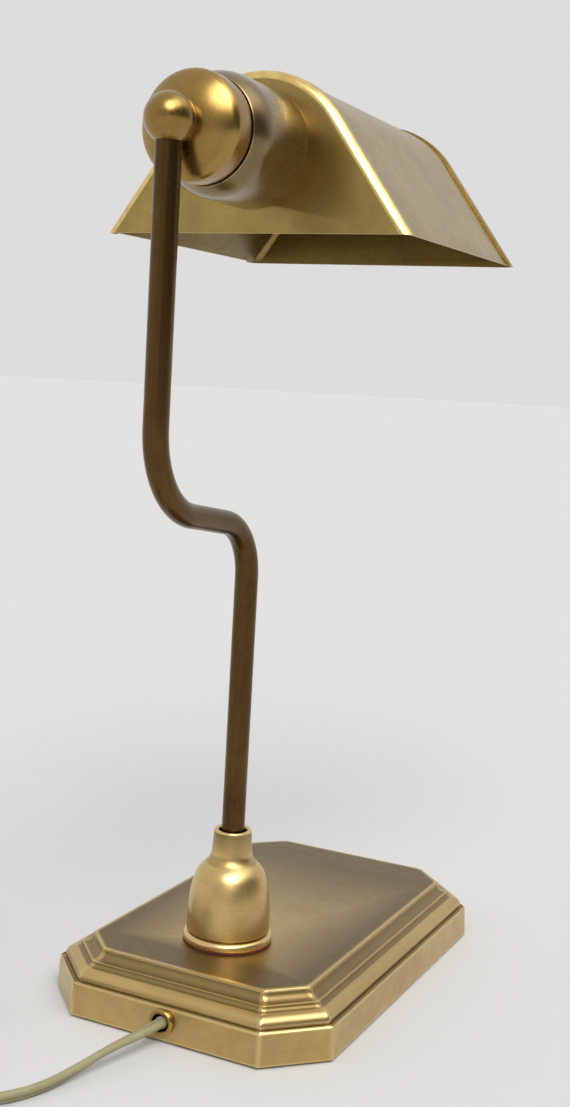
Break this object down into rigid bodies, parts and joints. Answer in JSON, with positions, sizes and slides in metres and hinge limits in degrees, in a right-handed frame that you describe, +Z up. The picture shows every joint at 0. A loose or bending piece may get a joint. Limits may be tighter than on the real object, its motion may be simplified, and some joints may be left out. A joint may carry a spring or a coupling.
{
  "type": "banker desk lamp",
  "caption": "Antique-brass desk lamp: stepped base, bent tube stem, tilting ball head and a flared trough shade with a tubular bulb.",
  "frame": {"origin": "middle of the base's resting face", "axes": "+Z up; +Y along the base from the cord's end to the other, and along the shade's tilt axis; +X across the shade"},
  "size_m": [0.246, 0.3116, 0.395],
  "materials": {
    "antique_brass": "satin, patinated",
    "dark_brass": "satin, dark patina",
    "bright_brass": "satin",
    "shade_brass": "satin, patinated",
    "zinc_steel": "zinc plated",
    "iron": "rough cast",
    "felt": "dense felt",
    "gasket": "vulcanised fibre",
    "cord_pvc": "satin PVC",
    "inner_lead": "silicone sleeve",
    "terminal_plastic": "polyamide",
    "fitting_plastic": "moulded",
    "holder_ceramic": "glazed",
    "contact_brass": "plain",
    "bulb_glass": "frosted",
    "cap_nickel": "plain"
  },
  "bodies": {
    "base": {"base_shell": "antique_brass", "base_weight": "iron", "base_cover_plate": "zinc_steel", "base_felt": "felt", "cover_screws": "zinc_steel", "weight_screws": "zinc_steel", "cord_bushing": "bright_brass", "bushing_nut": "zinc_steel", "cord_clamp": "terminal_plastic", "clamp_screws": "zinc_steel", "terminal_block": "terminal_plastic", "mains_lead_inside": "cord_pvc", "bell_gasket": "gasket", "bell_ring": "antique_brass", "bell_cup": "antique_brass", "stem_tube": "dark_brass", "stem_nuts": "zinc_steel", "stem_washers": "zinc_steel", "stem_lead": "inner_lead", "stem_ball": "bright_brass", "pivot_nipple": "zinc_steel", "pivot_washer": "zinc_steel", "pivot_nut": "zinc_steel", "cord_lead": "cord_pvc", "cord_middle": "cord_pvc", "cord_tail": "cord_pvc", "cord_coil": "cord_pvc", "switch_base": "fitting_plastic", "switch_lid": "fitting_plastic", "switch_screws": "zinc_steel", "switch_contacts": "contact_brass", "plug_sleeve": "fitting_plastic", "plug_body": "fitting_plastic", "plug_pins": "cap_nickel"},
    "head": {"knob": "bright_brass", "holder_cup": "antique_brass", "holder_leads": "inner_lead", "holder_body": "holder_ceramic", "holder_skirt": "holder_ceramic", "holder_shell": "contact_brass", "holder_contact": "contact_brass", "shade_ring": "holder_ceramic", "shade_body": "shade_brass", "near_end_plate": "shade_brass", "far_end_plate": "shade_brass", "bulb_glass": "bulb_glass", "bulb_cap": "cap_nickel", "bulb_contact": "contact_brass"},
    "rocker": {"switch_rocker": "fitting_plastic"}
  },
  "joints": [
    {"name": "shade_tilt", "type": "hinge", "parent": "base", "child": "head", "pos_m": [0, -0.1185, 0.3635], "axis": [0, 1, 0], "range_deg": [-60, 60]},
    {"name": "switch_rock", "type": "hinge", "parent": "base", "child": "rocker", "pos_m": [-0.083, -0.195, 0.012], "axis": [0, -1, 0], "range_deg": [0, 16]}
  ]
}
